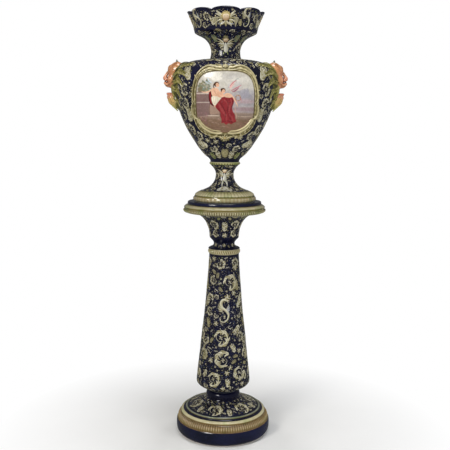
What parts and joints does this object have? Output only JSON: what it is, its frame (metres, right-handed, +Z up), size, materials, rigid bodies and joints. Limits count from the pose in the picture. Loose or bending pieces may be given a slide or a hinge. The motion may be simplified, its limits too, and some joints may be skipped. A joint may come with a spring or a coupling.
{
  "type": "amphora on pedestal",
  "caption": "Glazed maiolica amphora with a lobed rim, satyr-mask handles and a framed painted medallion, on its matching column pedestal in stacked sections.",
  "frame": {"origin": "centre of the base's underside, on the floor", "axes": "+Z up the vase's axis; -Y out of the front medallion; the two satyr masks face +X and -X"},
  "size_m": [0.5216, 0.4314, 1.798],
  "materials": {
    "cobalt_glaze": "near-black cobalt glaze, glossy, painted with cream grotesque scrolls",
    "cream_glaze": "cream majolica glaze pooled ochre in the hollows, glossy",
    "ochre_glaze": "ochre and olive majolica glaze, glossy",
    "leaf_glaze": "yellow-green majolica glaze, glossy",
    "flesh_glaze": "salmon flesh glaze, glossy",
    "horn_glaze": "dark grey-green glaze, glossy",
    "painted_panel": "painted figure scene under a clear glaze, glossy",
    "felt": "dark grey felt",
    "iron": "dull wrought iron",
    "rubber_gasket": "black rubber"
  },
  "bodies": {
    "base": {"base_plinth": "cobalt_glaze", "base_egg_band": "ochre_glaze", "base_torus": "cream_glaze", "base_dome": "cobalt_glaze", "dome_fillet": "cream_glaze", "base_felt": "felt"},
    "column": {"column_shaft": "cobalt_glaze", "column_collar": "ochre_glaze", "column_felt": "felt"},
    "capital": {"capital_stem": "cobalt_glaze", "plate_bead_band": "cream_glaze", "plate_cove_band": "ochre_glaze", "seat_disc": "cobalt_glaze"},
    "seat_felt": {"foot_felt": "felt"},
    "amphora": {"foot_torus": "cream_glaze", "foot_gadroon": "ochre_glaze", "foot_stem": "cobalt_glaze", "stem_collar": "ochre_glaze", "body_bowl": "cobalt_glaze", "body_belly": "cobalt_glaze", "body_shoulder": "cobalt_glaze", "neck": "cobalt_glaze", "lobed_rim": "cobalt_glaze", "mask_head_left": "flesh_glaze", "mask_head_right": "flesh_glaze", "mask_jaw_left": "flesh_glaze", "mask_jaw_right": "flesh_glaze", "mask_hood_left": "leaf_glaze", "mask_hood_right": "leaf_glaze", "mask_horns_left": "horn_glaze", "mask_horns_right": "horn_glaze", "medallion_front": "painted_panel", "medallion_back": "painted_panel", "cartouche_front": "cream_glaze", "cartouche_back": "cream_glaze", "crest_front": "cream_glaze", "crest_back": "cream_glaze", "pendant_front": "cream_glaze", "pendant_back": "cream_glaze", "tie_rod": "iron", "rod_nut_upper": "iron", "rod_nut_lower": "iron", "rod_washer_upper": "iron", "rod_washer_lower": "iron", "rod_gasket_upper": "rubber_gasket", "rod_gasket_lower": "rubber_gasket"}
  },
  "joints": [
    {"name": "column_lift", "type": "slide", "parent": "base", "child": "column", "axis": [0, 0, 1], "range_m": [0, 0.06]},
    {"name": "capital_lift", "type": "slide", "parent": "column", "child": "capital", "axis": [0, 0, 1], "range_m": [0, 0.06]},
    {"name": "amphora_turn", "type": "hinge", "parent": "capital", "child": "seat_felt", "pos_m": [0, 0, 1.016], "axis": [0, 0, 1], "continuous": true},
    {"name": "amphora_lift", "type": "slide", "parent": "seat_felt", "child": "amphora", "axis": [0, 0, 1], "range_m": [0, 0.1]}
  ]
}
